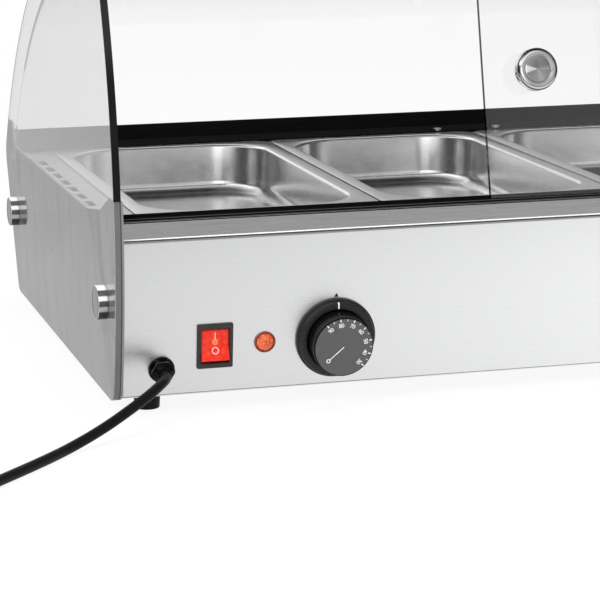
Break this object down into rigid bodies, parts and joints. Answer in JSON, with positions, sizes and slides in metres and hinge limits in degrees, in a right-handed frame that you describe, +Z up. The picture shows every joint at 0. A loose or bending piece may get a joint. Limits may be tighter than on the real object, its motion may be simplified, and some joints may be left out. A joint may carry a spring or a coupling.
{
  "type": "heated buffet display",
  "caption": "Countertop heated food display with curved glass, sliding rear doors and lift-out pans over a heated well, with a thermostat, switch and lamp.",
  "frame": {"origin": "centre of the footprint on the counter, at the height of the underside of the feet", "axes": "+X along the length, to the right of the person who serves; +Y from the person who serves to the customer; +Z up"},
  "size_m": [1.0527, 0.6906, 0.3264],
  "materials": {
    "steel_sheet": "fine vertical grain, satin",
    "steel_tub": "plain satin, lightly toned by heat",
    "pan_steel": "soft satin",
    "black_sheet": "gloss black",
    "black_plastic": "satin black",
    "clear_glass": "polished, clear with a faint green edge",
    "polished_steel": "polished",
    "fixing_steel": "zinc-bright",
    "nylon": "natural nylon",
    "element_metal": "oxidised sheath",
    "ceramic": "off-white steatite",
    "rubber_black": "matt",
    "dial_plastic": "grey face with printed scale",
    "bezel_plastic": "gloss black with a white index",
    "rocker_red": "translucent red, lit",
    "switch_black": "satin black",
    "lamp_orange": "translucent orange-red, faceted",
    "lamp_black": "dark",
    "brass": "plain",
    "copper_tube": "drawn copper",
    "wire_cover": "coloured insulation",
    "cord_cover": "satin black",
    "plug_plastic": "satin black",
    "regulator_case": "pale case"
  },
  "bodies": {
    "cabinet": {"control_panel": "steel_sheet", "customer_panel": "steel_sheet", "bottom_plate": "steel_sheet", "end_wall_left": "steel_sheet", "end_wall_right": "steel_sheet", "deck": "steel_sheet", "heating_tub": "steel_tub", "pan_support_bars": "steel_sheet", "heating_element_left": "element_metal", "heating_element_right": "element_metal", "element_clips": "steel_tub", "element_insulators": "ceramic", "side_glass_left": "clear_glass", "side_glass_right": "clear_glass", "side_plate_left": "black_sheet", "side_plate_right": "black_sheet", "edge_trims": "black_plastic", "glass_caps": "polished_steel", "glass_bushings": "nylon", "glass_studs": "fixing_steel", "stud_nuts": "fixing_steel", "guard_glass": "clear_glass", "guard_channel": "black_plastic", "lower_door_track": "black_plastic", "upper_door_track": "black_plastic", "top_beam": "black_plastic", "top_cover": "black_sheet", "switch_housing": "switch_black", "switch_terminals": "brass", "lamp_body": "lamp_black", "lamp_lens": "lamp_orange", "thermostat_body": "regulator_case", "thermostat_bezel": "bezel_plastic", "thermostat_sensor": "copper_tube", "safety_cutout": "regulator_case", "gland_body": "black_plastic", "gland_nuts": "black_plastic", "terminal_block": "ceramic", "internal_wires": "wire_cover", "feet": "rubber_black", "case_screws": "fixing_steel", "cord_lead": "cord_cover", "cord_coil": "cord_cover", "cord_tail": "cord_cover", "plug_body": "plug_plastic", "plug_pins": "brass"},
    "left_door": {"left_door_glass": "clear_glass", "left_door_knob": "polished_steel", "left_knob_screw": "fixing_steel"},
    "right_door": {"right_door_glass": "clear_glass", "right_door_knob": "polished_steel", "right_knob_screw": "fixing_steel"},
    "pan_one": {"pan_1": "pan_steel"},
    "pan_two": {"pan_2": "pan_steel"},
    "pan_three": {"pan_3": "pan_steel"},
    "pan_four": {"pan_4": "pan_steel"},
    "rocker": {"switch_rocker": "rocker_red"},
    "dial": {"thermostat_dial": "dial_plastic", "thermostat_shaft": "fixing_steel"}
  },
  "joints": [
    {"name": "left_door_slide", "type": "slide", "parent": "cabinet", "child": "left_door", "axis": [1, 0, 0], "range_m": [-0.27, 0]},
    {"name": "right_door_slide", "type": "slide", "parent": "cabinet", "child": "right_door", "axis": [1, 0, 0], "range_m": [-0.043, 0]},
    {"name": "pan_one_lift", "type": "slide", "parent": "cabinet", "child": "pan_one", "axis": [0, 0, 1], "range_m": [0, 0.045]},
    {"name": "pan_two_lift", "type": "slide", "parent": "cabinet", "child": "pan_two", "axis": [0, 0, 1], "range_m": [0, 0.045]},
    {"name": "pan_three_lift", "type": "slide", "parent": "cabinet", "child": "pan_three", "axis": [0, 0, 1], "range_m": [0, 0.045]},
    {"name": "pan_four_lift", "type": "slide", "parent": "cabinet", "child": "pan_four", "axis": [0, 0, 1], "range_m": [0, 0.045]},
    {"name": "rocker_tilt", "type": "hinge", "parent": "cabinet", "child": "rocker", "pos_m": [-0.3101, -0.20572, 0.04726], "axis": [1, 0, 0], "range_deg": [0, 22]},
    {"name": "dial_turn", "type": "hinge", "parent": "cabinet", "child": "dial", "pos_m": [-0.224, -0.20874, 0.04724], "axis": [0, -0.9925, -0.1219], "range_deg": [-37, 229]}
  ]
}
